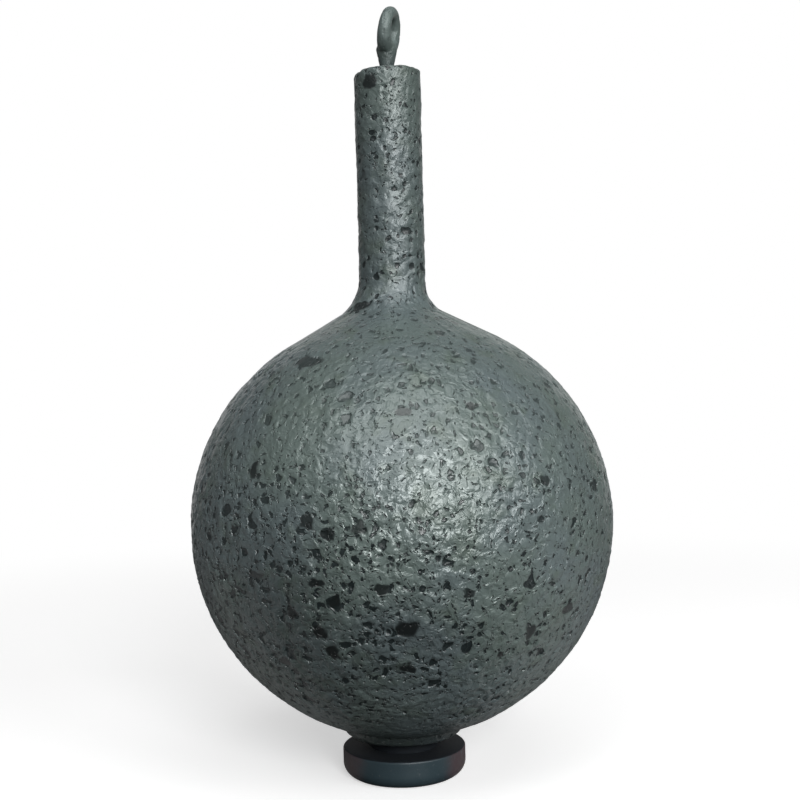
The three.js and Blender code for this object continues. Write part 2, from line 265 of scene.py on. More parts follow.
class Pattern:
    """Adds nodes to a material's tree or to a geometry tree."""

    def __init__(self, tree):
        self.tree = tree

    def node(self, kind, inputs=(), **settings):
        """A new node. inputs go to its sockets, by name or number, and settings to itself."""
        made = self.tree.nodes.new(kind)
        for key, value in settings.items():
            setattr(made, key, value)
        for key, value in dict(inputs).items():
            self.put(made.inputs[key], value)
        return made

    def put(self, socket, value):
        """Links value to the socket, or sets it there when it is a plain one."""
        if isinstance(value, bpy.types.NodeSocket):
            self.tree.links.new(value, socket)
        else:
            socket.default_value = value

    def math(self, operation, a, b=0.0, clamp=False):
        made = self.node("ShaderNodeMath", {0: a, 1: b}, operation=operation, use_clamp=clamp)
        return made.outputs[0]

    def vector(self, operation, a, b):
        made = self.node("ShaderNodeVectorMath", {0: a, 1: b}, operation=operation)
        return made.outputs[0]

    def scaled(self, place, factor):
        made = self.node("ShaderNodeVectorMath", {0: place, "Scale": factor}, operation="SCALE")
        return made.outputs[0]

    def noise(self, place, scale, detail=2.0, roughness=0.5, distortion=0.0):
        inputs = {
            "Vector": place,
            "Scale": scale,
            "Detail": detail,
            "Roughness": roughness,
            "Distortion": distortion,
        }
        return self.node("ShaderNodeTexNoise", inputs).outputs[0]

    def warped(self, place, scale, reach):
        """place, pushed about by a noise."""
        made = self.node("ShaderNodeTexNoise", {"Vector": place, "Scale": scale, "Detail": 1.0})
        push = self.vector("SUBTRACT", made.outputs[1], (0.5, 0.5, 0.5))
        return self.vector("ADD", place, self.scaled(push, reach))

    def chips(self, place, spacing, widest, rarity, edge, growth):
        """Separate spots about spacing apart, 1 inside and falling to 0 over edge. Their radius
        goes up to widest times growth, and a high rarity makes most of them small. Lengths as
        in place."""
        made = self.node("ShaderNodeTexVoronoi", {"Vector": place, "Scale": 1 / spacing})
        chance = self.parts_of(made.outputs["Color"])[0]
        radius = self.math("MULTIPLY", self.math("POWER", chance, rarity), widest / spacing)
        radius = self.math("MULTIPLY", radius, growth)
        depth = self.math("SUBTRACT", radius, made.outputs["Distance"])
        return self.math("MULTIPLY", depth, spacing / edge, clamp=True)

    def spot(self, place, centre, halves, softness):
        """1 inside a spot of the skin round centre and 0 outside it. halves are half its width
        and half its height, and softness is the share of them over which it fades."""
        across, up = halves
        way = self.vector("SUBTRACT", place, centre)
        way = self.vector("MULTIPLY", way, (1 / across, 1 / across, 1 / up))
        far = self.node("ShaderNodeVectorMath", {0: way}, operation="LENGTH").outputs["Value"]
        return self.step(far, 1 + softness, 1 - softness)

    def step(self, value, low, high):
        """0 below low, 1 above high, and smooth between."""
        inputs = {"Value": value, "From Min": low, "From Max": high}
        made = self.node("ShaderNodeMapRange", inputs, interpolation_type="SMOOTHSTEP")
        return made.outputs["Result"]

    def parts_of(self, place):
        return self.node("ShaderNodeSeparateXYZ", {0: place}).outputs

    def height_of(self, place):
        return self.parts_of(place)[2]

    def bump(self, height):
        """Normals of a surface with this height in millimetres."""
        made = self.node("ShaderNodeBump", {"Height": height, "Distance": MM, "Strength": 1.0})
        return made.outputs[0]

    def ranged(self, value, low, high):
        """low where value is 0 and high where it is 1."""
        inputs = {"Value": value, "To Min": low, "To Max": high}
        return self.node("ShaderNodeMapRange", inputs).outputs["Result"]

    def mixed(self, factor, a, b):
        """Colour a where factor is 0 and colour b where it is 1."""
        made = self.node("ShaderNodeMix", data_type="RGBA")
        self.put(made.inputs["Factor"], factor)
        self.put(made.inputs[6], a)
        self.put(made.inputs[7], b)
        return made.outputs[2]


# Pattern of the coat. Heights and places are in millimetres.

# Noises: scale per millimetre, detail and, where it is given, roughness.
SWELL_NOISE = (0.28, 1.0)
WRINKLE_NOISE = (1.9, 1.0, 0.4)
FOLD_NOISE = (1.5, 1.0)
SWELL_HEIGHT = 0.16
WRINKLE_HEIGHT = 0.16
# Warps of the pattern: scale per millimetre, and reach.
SWAY = (1.1, 0.9)
BEND = (4.4, 0.28)
# Pits: spacing, largest radius, rarity of the large ones, and width of the edge.
LARGE_PITS = (1.15, 0.52, 4.4, 0.08)
MIDDLE_PITS = (0.55, 0.29, 1.3, 0.08)
SMALL_PITS = (0.26, 0.12, 1.5, 0.06)
PIT_DEPTH = 0.11
PITS_LOST_ABOVE = 0.35  # share by which pits are fainter on the shoulder
SHOULDER_HEIGHTS = (19.0, 31.0)  # it sets in between these heights
PITS_LOST_BELOW = 0.5  # share by which they are fainter near the bottom
BOTTOM_HEIGHTS = (8.5, 5.0)
WORN_PLACE = ((-7.5, -13.8, 16.5), (11.5, 9.0))  # where pits are larger: middle and halves
WORN_SOFTNESS = 0.3
WORN_GROWTH = 0.28
STEM_HEIGHTS = (36.0, 39.0)  # between these the ball's coat turns into the stem's
STEM_CALMER = 0.4  # share by which wrinkles and pits are lower on the stem
# The stem's slanting folds: height, turn about Y in radians, and squeeze of their noise.
STEM_FOLD_HEIGHT = 0.11
STEM_FOLD_TILT = 0.45
STEM_FOLD_SQUEEZE = (0.5, 0.5, 1.5)
# The largest bare spots: middle, half the width and half the height, and how bare it is.
# Scratch programs worked their places out: 17 from dark patches that one of them found in
# the photograph, and 7 from places read by eye. The report tells which rule that breaks.
SPOTS = (
    ((0.5, -16.2, 15.1), (0.86, 0.64), 1.0),
    ((-5.7, -14.9, 14.7), (0.54, 0.54), 1.0),
    ((-4.8, -14.6, 13.2), (0.56, 0.66), 1.0),
    ((-7.7, -14.4, 16.1), (0.46, 0.78), 0.9),
    ((9.3, -12.9, 14.0), (0.56, 0.5), 0.8),
    ((-1.2, -16.8, 18.0), (0.5, 0.43), 0.8),
    ((-5.8, -15.7, 18.4), (0.54, 0.38), 0.9),
    ((-4.8, -16.2, 21.8), (0.54, 0.39), 0.7),
    ((-6.3, -15.5, 22.5), (0.58, 0.42), 0.7),
    ((-2.7, -16.6, 22.2), (0.6, 0.42), 0.6),
    ((-10.2, -12.1, 26.1), (0.4, 0.7), 0.7),
    ((4.8, -16.1, 17.4), (0.49, 0.28), 0.7),
    ((12.3, -10.8, 15.1), (0.6, 0.37), 0.8),
    ((-8.3, -11.9, 12.2), (0.52, 0.33), 0.9),
    ((0.5, -14.8, 12.0), (0.57, 0.3), 0.9),
    ((-4.6, -15.9, 17.0), (0.42, 0.38), 0.9),
    ((-10.3, -13.2, 18.6), (0.8, 0.27), 0.7),
    ((7.2, -13.5, 12.3), (0.38, 0.32), 0.8),
    ((10.5, -12.8, 24.8), (0.43, 0.43), 0.6),
    ((5.4, -12.9, 30.3), (0.5, 0.28), 0.6),
    ((0.7, -14.1, 29.9), (0.56, 0.35), 0.5),
    ((-6.4, -8.3, 33.7), (1.27, 0.45), 0.5),
    ((-2.4, -2.3, 38.0), (0.9, 0.5), 0.7),
    ((-1.4, -2.3, 55.8), (0.6, 0.7), 0.8),
)
SPOT_SOFTNESS = 0.2
SPOT_DEPTH = 0.4  # of the pits' depth
# Painted shade on the lower front and lower left of the ball, which changes the coat's colour
# alone, given in the same way.
LOWER_BALL_SHADES = (
    ((-1.6, -16.0, 14.3), (6.0, 3.1), 0.36),
    ((-8.3, -13.2, 15.4), (5.0, 6.2), 0.56),
)
LOWER_BALL_SHADE_SOFTNESS = 0.8


def coat_pattern(pattern, place):
    """Height of the coat in millimetres, how far it is worn to its dark ground or darkened by
    painted shade on the lower ball, from 0 to 1, and the same for the large spots alone.
    place is in millimetres."""
    swell = pattern.noise(place, *SWELL_NOISE)
    swayed = pattern.warped(place, *SWAY)
    bent = pattern.warped(swayed, *BEND)
    folds = pattern.math("SUBTRACT", pattern.noise(bent, *FOLD_NOISE), 0.5)
    folds = pattern.math("ABSOLUTE", folds)
    wrinkle = pattern.math("SUBTRACT", pattern.noise(bent, *WRINKLE_NOISE), folds)
    wrinkle = pattern.math("SUBTRACT", wrinkle, 0.5)
    worn = pattern.math("MULTIPLY", pattern.spot(place, *WORN_PLACE, WORN_SOFTNESS), WORN_GROWTH)
    growth = pattern.math("ADD", 1.0, worn)
    pits = pattern.math(
        "MAXIMUM",
        pattern.chips(swayed, *LARGE_PITS, growth),
        pattern.math(
            "MAXIMUM",
            pattern.chips(bent, *MIDDLE_PITS, growth),
            pattern.chips(bent, *SMALL_PITS, growth),
        ),
    )
    up = pattern.height_of(place)
    on_stem = pattern.step(up, *STEM_HEIGHTS)
    above = pattern.math("SUBTRACT", pattern.step(up, *SHOULDER_HEIGHTS), on_stem)
    share = pattern.math("SUBTRACT", 1.0, pattern.math("MULTIPLY", above, PITS_LOST_ABOVE))
    below = pattern.math("MULTIPLY", pattern.step(up, *BOTTOM_HEIGHTS), PITS_LOST_BELOW)
    share = pattern.math("SUBTRACT", share, below)
    pits = pattern.math("MULTIPLY", pits, share)
    spots = 0.0
    for centre, halves, bareness in SPOTS:
        spot = pattern.spot(swayed, centre, halves, SPOT_SOFTNESS)
        spots = pattern.math("MAXIMUM", spots, pattern.math("MULTIPLY", spot, bareness))
    bare = pattern.math("MAXIMUM", pits, spots)
    pits = pattern.math("MAXIMUM", pits, pattern.math("MULTIPLY", spots, SPOT_DEPTH))
    relief_share = pattern.math("SUBTRACT", 1.0, pattern.math("MULTIPLY", on_stem, STEM_CALMER))
    wrinkle = pattern.math("MULTIPLY", pattern.math("MULTIPLY", wrinkle, share), WRINKLE_HEIGHT)
    wrinkle = pattern.math("MULTIPLY", wrinkle, pattern.math("SUBTRACT", 1.0, spots))
    fine = pattern.math("SUBTRACT", wrinkle, pattern.math("MULTIPLY", pits, PIT_DEPTH))
    height = pattern.math(
        "ADD",
        pattern.math("MULTIPLY", pattern.math("SUBTRACT", swell, 0.5), SWELL_HEIGHT),
        pattern.math("MULTIPLY", fine, relief_share),
    )
    turn = {"Vector": bent, "Axis": (0, 1, 0), "Angle": STEM_FOLD_TILT}
    tilted = pattern.node("ShaderNodeVectorRotate", turn).outputs[0]
    rows = pattern.noise(pattern.vector("MULTIPLY", tilted, STEM_FOLD_SQUEEZE), 1.0, 1.0)
    rows = pattern.math("MULTIPLY", pattern.math("SUBTRACT", rows, 0.5), STEM_FOLD_HEIGHT)
    height = pattern.math("ADD", height, pattern.math("MULTIPLY", rows, on_stem))
    # painted shade on the lower ball, added to the wear so that the coat's colour darkens there
    for centre, halves, darkness in LOWER_BALL_SHADES:
        shade_patch = pattern.spot(place, centre, halves, LOWER_BALL_SHADE_SOFTNESS)
        bare = pattern.math("MAXIMUM", bare, pattern.math("MULTIPLY", shade_patch, darkness))
    return height, bare, spots


def apply_modifiers(piece):
    """Gives the piece the mesh that its modifiers make of it, and removes them."""
    depsgraph = bpy.context.evaluated_depsgraph_get()
    made = bpy.data.meshes.new_from_object(piece.evaluated_get(depsgraph), depsgraph=depsgraph)
    piece.modifiers.clear()
    old, piece.data = piece.data, made
    made.name = piece.name
    bpy.data.meshes.remove(old)


def relief(piece, pattern_of, name):
    """Moves the skin's vertices along their normals by the pattern, times the attribute
    'coat', and leaves a plain mesh."""
    tree = bpy.data.node_groups.new(name, "GeometryNodeTree")
    tree.interface.new_socket("Geometry", in_out="INPUT", socket_type="NodeSocketGeometry")
    tree.interface.new_socket("Geometry", in_out="OUTPUT", socket_type="NodeSocketGeometry")
    pattern = Pattern(tree)
    source = pattern.node("NodeGroupInput").outputs[0]
    place = pattern.scaled(pattern.node("GeometryNodeInputPosition").outputs[0], 1 / MM)
    height = pattern_of(pattern, place)[0]
    weight = pattern.node("GeometryNodeInputNamedAttribute", {"Name": "coat"}, data_type="FLOAT")
    lift = pattern.math("MULTIPLY", pattern.math("MULTIPLY", height, weight.outputs[0]), MM)
    offset = pattern.scaled(pattern.node("GeometryNodeInputNormal").outputs[0], lift)
    moved = pattern.node("GeometryNodeSetPosition", {"Geometry": source, "Offset": offset})
    sink = pattern.node("NodeGroupOutput")
    tree.links.new(moved.outputs[0], sink.inputs[0])

    piece.modifiers.new(name, "NODES").node_group = tree
    apply_modifiers(piece)
    bpy.data.node_groups.remove(tree)


# Materials


def linear(red, green, blue):
    """Screen colour from 0 to 255 as linear light."""
    shares = [v / 255 for v in (red, green, blue)]
    return (*[v / 12.92 if v <= 0.04045 else ((v + 0.055) / 1.055) ** 2.4 for v in shares], 1.0)


def grey(value):
    return value, value, value, 1.0


def new_material(name, **values):
    """Material with its own nodes, its shader, and object coordinates in millimetres."""
    made = bpy.data.materials.new(name)
    made.use_nodes = True
    shader = made.node_tree.nodes["Principled BSDF"]
    for key, value in values.items():
        shader.inputs[key.replace("_", " ")].default_value = value
    pattern = Pattern(made.node_tree)
    place = pattern.scaled(pattern.node("ShaderNodeTexCoord").outputs["Object"], 1 / MM)
    return made, shader, pattern, place


EYE_FOOT_Z = 58.89  # where the ring of the eye meets its shank

# Noises: scale per millimetre, detail and, where it is given, roughness.
TINT_NOISE = (0.12, 2.0)
TINT_EDGES = (0.35, 0.65)
CLOUD_NOISE = (0.45, 3.0)
CLOUD_EDGES = (0.5, 0.75)
GRAIN_NOISE = (5.0, 2.0, 0.6)
GRAIN_HEIGHT = 0.005
COAT_GREEN = linear(105, 119, 115)
COAT_BLUE = linear(104, 117, 119)
COAT_CLOUD = linear(97, 111, 104)
# dark ground of the worn coat, also used for painted shade at the foot of the eye
COAT_WORN_AND_SHADE = linear(26, 38, 39)
COAT_BARE = linear(11, 20, 20)
# painted shade at the bottom of the coat, under the ball
COAT_LOW_SHADE = linear(14, 22, 23)
STEM_DARKER = 0.2  # share of the dark coat colour all over the stem, between these heights
STEM_DARK_LOW = (36.0, 42.0)
STEM_DARK_HIGH = (56.5, 58.0)
STEM_DULLER = 0.06  # roughness of the stem above the ball's
STEM_DULL_HEIGHTS = (36.0, 40.0)
EYE_ROOT_SHADE = 0.45  # painted shade: how dark the coat is made in the crease at the foot of the eye
EYE_ROOT_SHADE_LOW = 0.1  # it starts this far below the stem's top
EYE_ROOT_SHADE_FADE = 0.9  # and fades this far below and above the ring's foot
LOW_SHADE = 0.6  # painted shade: how dark the bottom of the coat is made, under the ball
LOW_SHADE_HEIGHTS = (2.6, 0.5)  # it fades in between these heights above the seat


def coat_material(name, bumps, bareness, smooth, dull):
    """Coat whose bumps are as high as in its pattern times bumps, whose pits are as bare, and the
    painted shade of the lower ball as dark, as in it times bareness, and whose roughness goes
    from smooth to dull."""
    made, shader, pattern, place = new_material(name, Specular_IOR_Level=1.0, Metallic=0.15)
    # worn holds the pits' and spots' wear together with the painted shade of the lower ball
    height, worn, spots = coat_pattern(pattern, place)
    tint = pattern.step(pattern.noise(place, *TINT_NOISE), *TINT_EDGES)
    cloud = pattern.noise(place, *CLOUD_NOISE)
    up = pattern.height_of(place)
    stem = pattern.step(up, *STEM_DARK_LOW)
    stem = pattern.math("SUBTRACT", stem, pattern.step(up, *STEM_DARK_HIGH))
    # painted shade in the crease where the eye's shank leaves the stem's top
    root_shade = pattern.step(up, STEM_TOP_Z - EYE_ROOT_SHADE_LOW, STEM_TOP_Z)
    root_shade = pattern.math("MULTIPLY", root_shade, EYE_ROOT_SHADE)
    root_shade_end = pattern.step(up, EYE_FOOT_Z + EYE_ROOT_SHADE_FADE, EYE_FOOT_Z - EYE_ROOT_SHADE_FADE)
    # painted shade at the bottom of the coat, near the seat under the ball
    low = pattern.step(up, SEAT_Z + LOW_SHADE_HEIGHTS[0], SEAT_Z + LOW_SHADE_HEIGHTS[1])

    colour = pattern.mixed(tint, COAT_GREEN, COAT_BLUE)
    for share, other in (
        (pattern.step(cloud, *CLOUD_EDGES), COAT_CLOUD),
        (pattern.math("MULTIPLY", worn, bareness), COAT_WORN_AND_SHADE),
        (spots, COAT_BARE),
        (pattern.math("MULTIPLY", stem, STEM_DARKER), COAT_WORN_AND_SHADE),
        (pattern.math("MULTIPLY", root_shade, root_shade_end), COAT_WORN_AND_SHADE),
        (pattern.math("MULTIPLY", low, LOW_SHADE), COAT_LOW_SHADE),
    ):
        colour = pattern.mixed(share, colour, other)
    pattern.put(shader.inputs["Base Color"], colour)

    grain = pattern.math("MULTIPLY", pattern.noise(place, *GRAIN_NOISE), GRAIN_HEIGHT)
    height = pattern.math("MULTIPLY", pattern.math("ADD", height, grain), bumps)
    pattern.put(shader.inputs["Normal"], pattern.bump(height))
    duller = pattern.math("MULTIPLY", pattern.step(up, *STEM_DULL_HEIGHTS), STEM_DULLER)
    rough = pattern.math("ADD", pattern.ranged(cloud, smooth, dull), duller)
    pattern.put(shader.inputs["Roughness"], rough)
    return made


# Coated body

BALL_SHIFT = 0.26  # the ball was cast this much to the right of the stem
BALL_LEAN = 0.004  # more of it for each millimetre up from the ball's middle
BALL_TAPER = 0.009  # share by which the ball is wider near its top and narrower near its bottom
SHIFT_LOW = (0.2, 2.0)  # the shift sets in between these heights above the seat
SHIFT_HIGH = (35.7, 37.9)  # and ends between these heights
TAPER_END = 4  # the taper fades over this height below the ball's top
NECK_SHIFT = -0.13  # the neck leans back to the left
NECK_Z = 38.5
NECK_SPREAD = 1.1
STEM_TOP_SLANT = 0.15  # the stem's top is this much higher at its right edge
STEM_TOP_DOME = 0.18  # and this much lower all round than in its middle
STEM_TOP_REACH = 1.5  # height over which both set in
STEM_TOP_DOME_RADII = (1.3, 2.4)
# The coat's relief stays this far from the pieces inside.
THROAT_MARGIN = 0.3
INSERT_MARGIN = (0.6, 1)  # across and upwards
ANCHOR_MARGIN = (0.4, 1)  # across and downwards
POCKET_TOP = 0.1  # from here below the stem's top down
EDGE_MARGIN = 0.01


def casting_shift(z):
    """How far the casting stands to the right of its axis at height z."""
    low = smoothstep(z, SEAT_Z + SHIFT_LOW[0], SEAT_Z + SHIFT_LOW[1])
    ball = low * (1 - smoothstep(z, *SHIFT_HIGH))
    neck = np.exp(-(((z - NECK_Z) / NECK_SPREAD) ** 2))
    return (BALL_SHIFT + BALL_LEAN * (z - BALL_CENTRE_Z)) * ball + NECK_SHIFT * neck


def body_skin():
    """The lead casting as it was cast, not quite round and straight, with its coat's relief."""
    piece = revolved("coated_body", body_outline(), FEWEST_SIDES, WIDEST_SIDE)
    mesh = piece.data
    places = places_of(mesh)
    z = places[:, 2]
    r = np.hypot(places[:, 0], places[:, 1])
    outside = (z > BALL_CENTRE_Z - BALL_RADIUS) & (z < STEM_TOP_Z + EDGE_MARGIN)
    throat = r < THROAT_RADIUS + THROAT_MARGIN
    insert = (r < INSERT_HIGH[0] + INSERT_MARGIN[0]) & (z < INSERT_HIGH[2] + INSERT_MARGIN[1])
    pocket = (z > ANCHOR_LOW[2] - ANCHOR_MARGIN[1]) & (z < STEM_TOP_Z - POCKET_TOP)
    pocket &= r < ANCHOR_HIGH[0] + ANCHOR_MARGIN[0]
    coat = np.where(outside & ~throat & ~insert & ~pocket, 1.0, 0.0)
    mesh.attributes.new("coat", "FLOAT", "POINT").data.foreach_set("value", coat)
    ball_top = BALL_CENTRE_Z + BALL_RADIUS
    near_ball = 1 - smoothstep(z, ball_top - TAPER_END, ball_top)
    taper = 1 + BALL_TAPER * (z - BALL_CENTRE_Z) / BALL_RADIUS * near_ball * coat
    places[:, :2] *= taper[:, None]
    places[:, 0] += casting_shift(z) * coat
    near_top = smoothstep(z, STEM_TOP_Z - STEM_TOP_REACH, STEM_TOP_Z) * coat
    places[:, 2] += STEM_TOP_SLANT * near_top * places[:, 0] / STEM_RADIUS
    places[:, 2] -= STEM_TOP_DOME * near_top * smoothstep(r, *STEM_TOP_DOME_RADII)
    set_places(mesh, places * MM)
    relief(piece, coat_pattern, "coat_relief")
    return piece


# Coated eye

EYE_WIRE_RADIUS = 0.5
EYE_FOOT_SWELL = 0.13  # extra radius of the coated wire where the ring meets its shank
EYE_FOOT_SPREAD = 1.5  # how fast that swell fades round the ring, as a power
EYE_RING_RADIUS = 1.44
EYE_RING_STEPS = 96
EYE_WIRE_SIDES = 24
EYE_TURN = math.radians(14)
EYE_LEAN = math.radians(10)
EYE_HEAD_RADIUS = 0.95
EYE_HEAD_LENGTH = 0.8
EYE_SHANK_RADIUS = 0.55
EYE_SHANK_SIDES = 48
# Radius and height of the coated shank above the stem's top, and round the ring's foot.
EYE_SHANK_OUTLINE = ((EYE_SHANK_RADIUS, 0.1), (0.6, 0.4), (0.7, 0.9))
EYE_KNOT_OUTLINE = ((0.82, -0.3), (0.86, 0), (0.7, 0.35), (0.4, 0.6), (0, 0.65))
EYE_VOXEL = 0.06
EYE_SOFTENING = (0.5, 14)  # factor, and times
EYE_RELIEF = 0.35  # share of the body's relief
EYE_RELIEF_LOW = 0.3  # from here above the stem's top


def solid_of_revolution(bm, outline, sides):
    """Adds a closed turned solid to bm. The outline's ends lie on the axis."""
    rings = []
    for r, z in outline:
        if r < ON_AXIS:
            rings.append([bm.verts.new((0, 0, z))])
        else:
            turns = [2 * math.pi * i / sides for i in range(sides)]
            rings.append([bm.verts.new((r * math.cos(t), r * math.sin(t), z)) for t in turns])
    for low, high in zip(rings, rings[1:]):
        for i in range(sides):
            j = (i + 1) % sides
            corners = [low[i % len(low)], low[j % len(low)]]
            corners += [high[j % len(high)], high[i % len(high)]]
            bm.faces.new(dict.fromkeys(corners))


def eye_ring_point(t):
    """Middle of the ring's wire, t round it from the lowest place, and the wire's radius."""
    across = EYE_RING_RADIUS * math.sin(t)
    up = EYE_RING_RADIUS * (1 - math.cos(t))
    low = 0.5 + 0.5 * math.cos(t)
    radius = EYE_WIRE_RADIUS + EYE_FOOT_SWELL * low**EYE_FOOT_SPREAD
    return across, up, radius


def eye_ring(bm, steps, sides):
    """Adds the closed ring to bm, turned about the vertical and leaning to the right."""
    lean = Matrix.Rotation(EYE_LEAN, 3, "Y")
    along = Vector((math.sin(EYE_TURN), math.cos(EYE_TURN), 0))
    up = Vector((0, 0, 1))
    flat = along.cross(up)
    rings = []
    for i in range(steps):
        t = 2 * math.pi * i / steps
        across, height, radius = eye_ring_point(t)
        middle = along * across + up * height
        outward = along * math.sin(t) - up * math.cos(t)
        ring = []
        for j in range(sides):
            a = 2 * math.pi * j / sides
            place = middle + radius * (math.cos(a) * outward + math.sin(a) * flat)
            place = lean @ place
            ring.append(bm.verts.new(place + Vector((0, 0, EYE_FOOT_Z))))
        rings.append(ring)
    for a, b in zip(rings, rings[1:] + rings[:1]):
        for j in range(sides):
            k = (j + 1) % sides
            bm.faces.new([a[j], b[j], b[k], a[k]])


def eye_skin():
    """Ring, shank and hidden head, grown into one skin."""
    bm = bmesh.new()
    eye_ring(bm, EYE_RING_STEPS, EYE_WIRE_SIDES)
    head_low = EYE_LOW[2]
    head_high = head_low + EYE_HEAD_LENGTH
    outline = [
        (0, head_low),
        (EYE_HEAD_RADIUS, head_low),
        (EYE_HEAD_RADIUS, head_high),
        (EYE_SHANK_RADIUS, head_high),
    ]
    outline += [(r, STEM_TOP_Z + up) for r, up in EYE_SHANK_OUTLINE]
    outline += [(r, EYE_FOOT_Z + up) for r, up in EYE_KNOT_OUTLINE]
    solid_of_revolution(bm, outline, EYE_SHANK_SIDES)
    bmesh.ops.recalc_face_normals(bm, faces=bm.faces)
    mesh = bpy.data.meshes.new("coated_eye")
    bm.to_mesh(mesh)
    bm.free()
    piece = bpy.data.objects.new("coated_eye", mesh)
    bpy.context.scene.collection.objects.link(piece)
    remesh = piece.modifiers.new("remesh", "REMESH")
    remesh.mode = "VOXEL"
    remesh.voxel_size = EYE_VOXEL
    soften = piece.modifiers.new("soften", "SMOOTH")
    soften.factor, soften.iterations = EYE_SOFTENING
    apply_modifiers(piece)
    made = piece.data
    places = places_of(made)
    coat = np.where(places[:, 2] > STEM_TOP_Z + EYE_RELIEF_LOW, EYE_RELIEF, 0.0)
    made.attributes.new("coat", "FLOAT", "POINT").data.foreach_set("value", coat)
    set_places(made, places * MM)
    made.shade_smooth()
    relief(piece, coat_pattern, "eye_relief")
    return piece


# Foot

FOOT_RADIUS = FOOT_HIGH[0]
FOOT_THICKNESS = 2.3
FOOT_BOTTOM_EDGE = 1.06  # radius round the standing edge
FOOT_TOP_EDGE = 0.18
FOOT_SIDES = 45
FOOT_WIDEST_SIDE = 0.2
FOOT_FLAT_STEP = 0.4
FOOT_EDGE_STEP = 0.1
FOOT_SIDE_STEP = 0.2
FOOT_RIM_STEP = 0.04
FOOT_SHARP_DEG = 50  # edges that turn by more are shaded sharp
COLLAR_RADIUS = 2.8
COLLAR_STEP = 0.3
COLLAR_TOP_STEP = 0.6
FLANGE_RADIUS = 3.25  # of the room that the rubber leaves for the stud's flange
FLANGE_LOW = 0.65
FLANGE_HIGH = 1.55
STUD_RADIUS = 1.55  # of its hole for the stud


def foot_skin():
    """The moulded foot with its collar, and the room in it for the stud and its flange."""
    bottom_r = FOOT_RADIUS - FOOT_BOTTOM_EDGE
    rim_r = FOOT_RADIUS - FOOT_TOP_EDGE
    rim_z = FOOT_THICKNESS - FOOT_TOP_EDGE
    outline = chain(
        line((0, 0), (bottom_r, 0), FOOT_FLAT_STEP),
        arc(bottom_r, FOOT_BOTTOM_EDGE, FOOT_BOTTOM_EDGE, -90, 0, FOOT_EDGE_STEP),
        line((FOOT_RADIUS, FOOT_BOTTOM_EDGE), (FOOT_RADIUS, rim_z), FOOT_SIDE_STEP),
        arc(rim_r, rim_z, FOOT_TOP_EDGE, 0, 90, FOOT_RIM_STEP),
        line((rim_r, FOOT_THICKNESS), (COLLAR_RADIUS, FOOT_THICKNESS), FOOT_FLAT_STEP),
        line((COLLAR_RADIUS, FOOT_THICKNESS), (COLLAR_RADIUS, SEAT_Z), COLLAR_STEP),
        line((COLLAR_RADIUS, SEAT_Z), (STUD_RADIUS, SEAT_Z), COLLAR_TOP_STEP),
        line((STUD_RADIUS, SEAT_Z), (STUD_RADIUS, FLANGE_HIGH), COLLAR_TOP_STEP),
        line((STUD_RADIUS, FLANGE_HIGH), (FLANGE_RADIUS, FLANGE_HIGH), HIDDEN_STEP),
        line((FLANGE_RADIUS, FLANGE_HIGH), (FLANGE_RADIUS, FLANGE_LOW), HIDDEN_STEP),
        line((FLANGE_RADIUS, FLANGE_LOW), (0, FLANGE_LOW), HIDDEN_STEP),
    )
    piece = revolved("moulded_foot", outline, FOOT_SIDES, FOOT_WIDEST_SIDE)
    set_places(piece.data, places_of(piece.data) * MM)
    piece.data.set_sharp_from_angle(angle=math.radians(FOOT_SHARP_DEG))
    return piece


# Noises: scale per millimetre, detail and, where it is given, roughness.
RUBBER_NOISE = (0.6, 3.0)
RUBBER_GRAIN_NOISE = (4.0, 3.0, 0.65)
RUBBER_GRAIN_HEIGHT = 0.012
RUBBER_ROUGHNESS = (0.36, 0.46)
RUBBER_TOP_DULLER = 0.4
DUST_NOISE = (3.2, 3.0, 0.7)
DUST_EDGES = (0.62, 0.72)
RUBBER_DARK = linear(44, 60, 67)
RUBBER_PALE = linear(58, 73, 79)
RUBBER_DUST = linear(76, 86, 90)
RUBBER_END = linear(74, 61, 65)  # at the left and right end of its side
RUBBER_END_REACH = (3.6, 5.0)  # distance to the side at which it sets in
RUBBER_END_CLOUD = 1.5  # how much the noise adds to that distance
RUBBER_TOP_SHADE = linear(8, 18, 26)  # painted shade on its upper face, which lies under the ball
RUBBER_TOP_EDGES = (0.1, 0.02)  # which starts this far below its height


def rubber_material():
    made, shader, pattern, place = new_material("foot_rubber")
    cloud = pattern.noise(place, *RUBBER_NOISE)
    grain = pattern.noise(place, *RUBBER_GRAIN_NOISE)
    dust = pattern.step(pattern.noise(place, *DUST_NOISE), *DUST_EDGES)
    x, _, up = pattern.parts_of(place)
    aside = pattern.math("ABSOLUTE", x)
    aside = pattern.math("ADD", aside, pattern.math("MULTIPLY", cloud, RUBBER_END_CLOUD))
    on_top = pattern.step(up, *[FOOT_THICKNESS - edge for edge in RUBBER_TOP_EDGES])
    dark = pattern.mixed(cloud, RUBBER_DARK, RUBBER_PALE)
    dark = pattern.mixed(pattern.step(aside, *RUBBER_END_REACH), dark, RUBBER_END)
    dark = pattern.mixed(dust, dark, RUBBER_DUST)
    # painted shade on the upper face and collar, under the ball
    dark = pattern.mixed(on_top, dark, RUBBER_TOP_SHADE)
    pattern.put(shader.inputs["Base Color"], dark)
    rough = pattern.ranged(cloud, *RUBBER_ROUGHNESS)
    rough = pattern.math("ADD", rough, pattern.math("MULTIPLY", on_top, RUBBER_TOP_DULLER))
    pattern.put(shader.inputs["Roughness"], rough)
    height = pattern.math("MULTIPLY", grain, RUBBER_GRAIN_HEIGHT)
    pattern.put(shader.inputs["Normal"], pattern.bump(height))
    return made


# Metal of the pieces inside

TOOL_MARK_SQUEEZE = (0.2, 0.2, 6.0)
TOOL_MARK_NOISE = (2.0, 2.0)
TOOL_MARK_HEIGHT = 0.01
METAL_NOISE = (0.8, 2.0)
METAL_ROUGHNESS = (0.25, 0.45)


